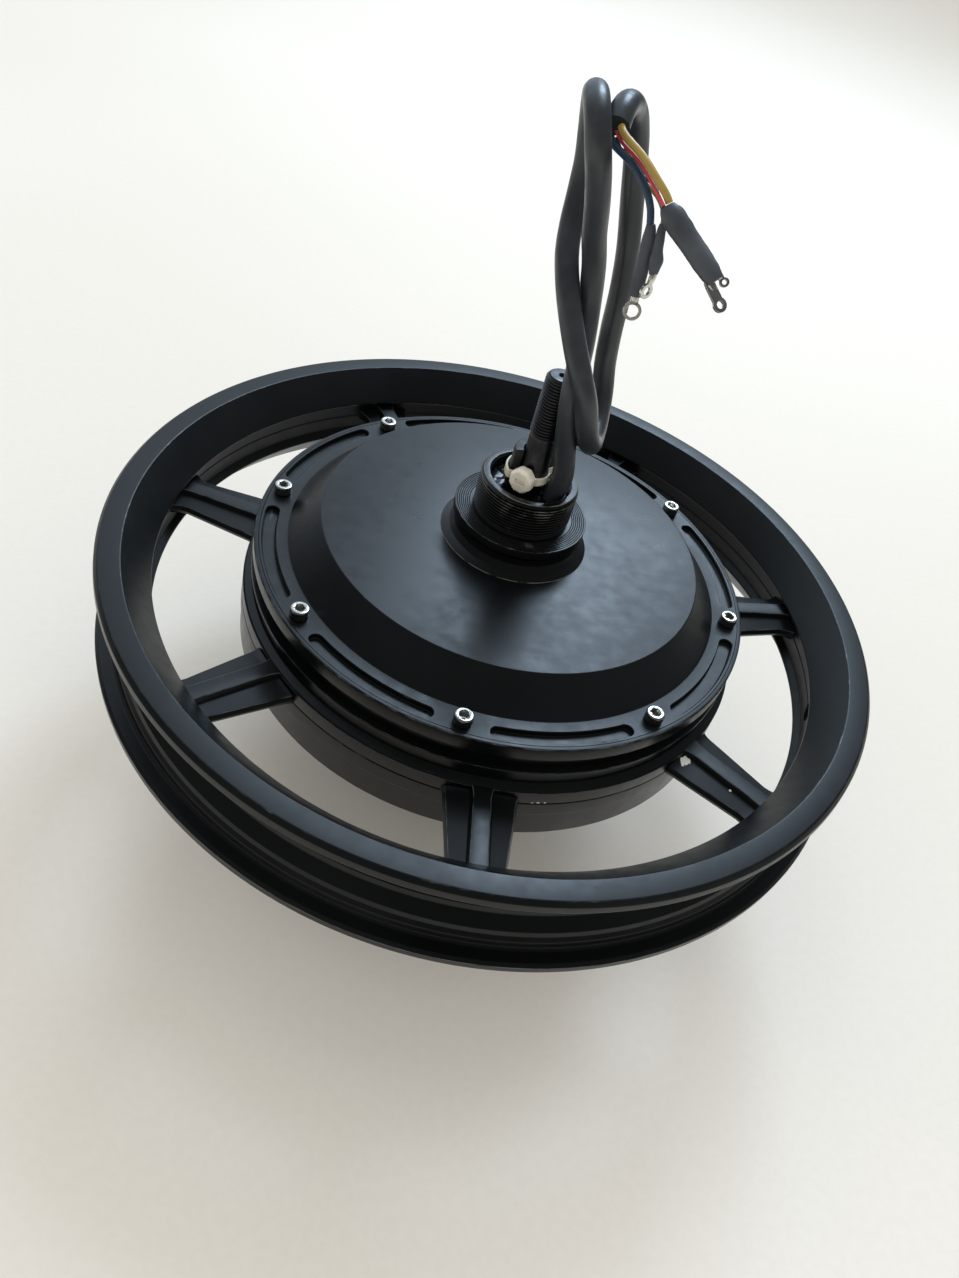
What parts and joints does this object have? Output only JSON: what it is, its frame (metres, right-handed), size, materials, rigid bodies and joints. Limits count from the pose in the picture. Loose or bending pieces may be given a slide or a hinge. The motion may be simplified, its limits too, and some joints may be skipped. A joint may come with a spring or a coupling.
{
  "type": "hub motor wheel",
  "caption": "Cast spoked rim round a sealed electric hub motor, with a threaded boss, through axle and a looped cable ending in ring terminals.",
  "frame": {"origin": "centre of the wheel, on the axle line, midway between the two rim flanges", "axes": "+Z along the axle towards the cable side; the wheel lies flat in XY"},
  "size_m": [0.3186, 0.3186, 0.3192],
  "materials": {
    "black_paint": "satin powder coat",
    "nickel_steel": "bright nickel plate",
    "dark_steel": "oiled steel",
    "bearing_brass": "plain",
    "nickel_magnet": "nickel plate",
    "lamination_steel": "stacked sheet",
    "enamelled_copper": "enamelled wire",
    "cast_alloy": "as cast",
    "black_rubber": "matt",
    "cable_jacket": "smooth",
    "shrink_sleeve": "satin",
    "natural_nylon": "translucent natural",
    "tinned_copper": "tinned",
    "yellow_insulation": "smooth",
    "pale_yellow_insulation": "smooth",
    "blue_insulation": "smooth",
    "red_insulation": "smooth",
    "green_insulation": "smooth"
  },
  "bodies": {
    "stator_assembly": {"axle": "dark_steel", "axle_boot": "black_rubber", "cable_potting": "black_rubber", "cable_tie_head": "natural_nylon", "cable_tie_strap": "natural_nylon", "stator_core": "lamination_steel", "stator_spider": "cast_alloy", "stator_windings": "enamelled_copper", "front_bearing_inner_race": "dark_steel", "rear_bearing_inner_race": "dark_steel", "motor_cable": "cable_jacket", "wire_yellow": "yellow_insulation", "wire_blue": "blue_insulation", "wire_red": "red_insulation", "wire_green": "green_insulation", "wire_thin_yellow": "pale_yellow_insulation", "sleeve_large": "shrink_sleeve", "sleeve_blue": "shrink_sleeve", "sleeve_yellow": "shrink_sleeve", "lug_left": "tinned_copper", "lug_right": "tinned_copper", "lug_blue": "tinned_copper", "lug_yellow": "tinned_copper"},
    "wheel_assembly": {"flux_ring": "dark_steel", "front_bearing_outer_race": "dark_steel", "front_cover": "black_paint", "front_cover_screw_1": "nickel_steel", "front_cover_screw_2": "nickel_steel", "front_cover_screw_3": "nickel_steel", "front_cover_screw_4": "nickel_steel", "front_cover_screw_5": "nickel_steel", "front_cover_screw_6": "nickel_steel", "front_cover_screw_7": "nickel_steel", "front_cover_screw_8": "nickel_steel", "magnet_ring": "nickel_magnet", "rear_bearing_outer_race": "dark_steel", "rear_cover": "black_paint", "rear_cover_screw_1": "nickel_steel", "rear_cover_screw_2": "nickel_steel", "rear_cover_screw_3": "nickel_steel", "rear_cover_screw_4": "nickel_steel", "rear_cover_screw_5": "nickel_steel", "rear_cover_screw_6": "nickel_steel", "rear_cover_screw_7": "nickel_steel", "rear_cover_screw_8": "nickel_steel", "rear_oil_seal": "black_rubber", "wheel_casting": "black_paint"},
    "front_ball_set": {"front_bearing_cage": "bearing_brass"},
    "rear_ball_set": {"rear_bearing_cage": "bearing_brass"}
  },
  "joints": [
    {"name": "wheel_spin", "type": "hinge", "parent": "stator_assembly", "child": "wheel_assembly", "pos_m": [0, 0, 0], "axis": [0, 0, 1], "continuous": true},
    {"name": "front_balls_roll", "type": "hinge", "parent": "stator_assembly", "child": "front_ball_set", "pos_m": [0, 0, 0.0299], "axis": [0, 0, 1], "continuous": true},
    {"name": "rear_balls_roll", "type": "hinge", "parent": "stator_assembly", "child": "rear_ball_set", "pos_m": [0, 0, -0.036], "axis": [0, 0, 1], "continuous": true}
  ],
  "couplings": [
    {"joint": "front_balls_roll", "follows": "wheel_spin", "ratio": 0.55},
    {"joint": "rear_balls_roll", "follows": "wheel_spin", "ratio": 0.58}
  ]
}
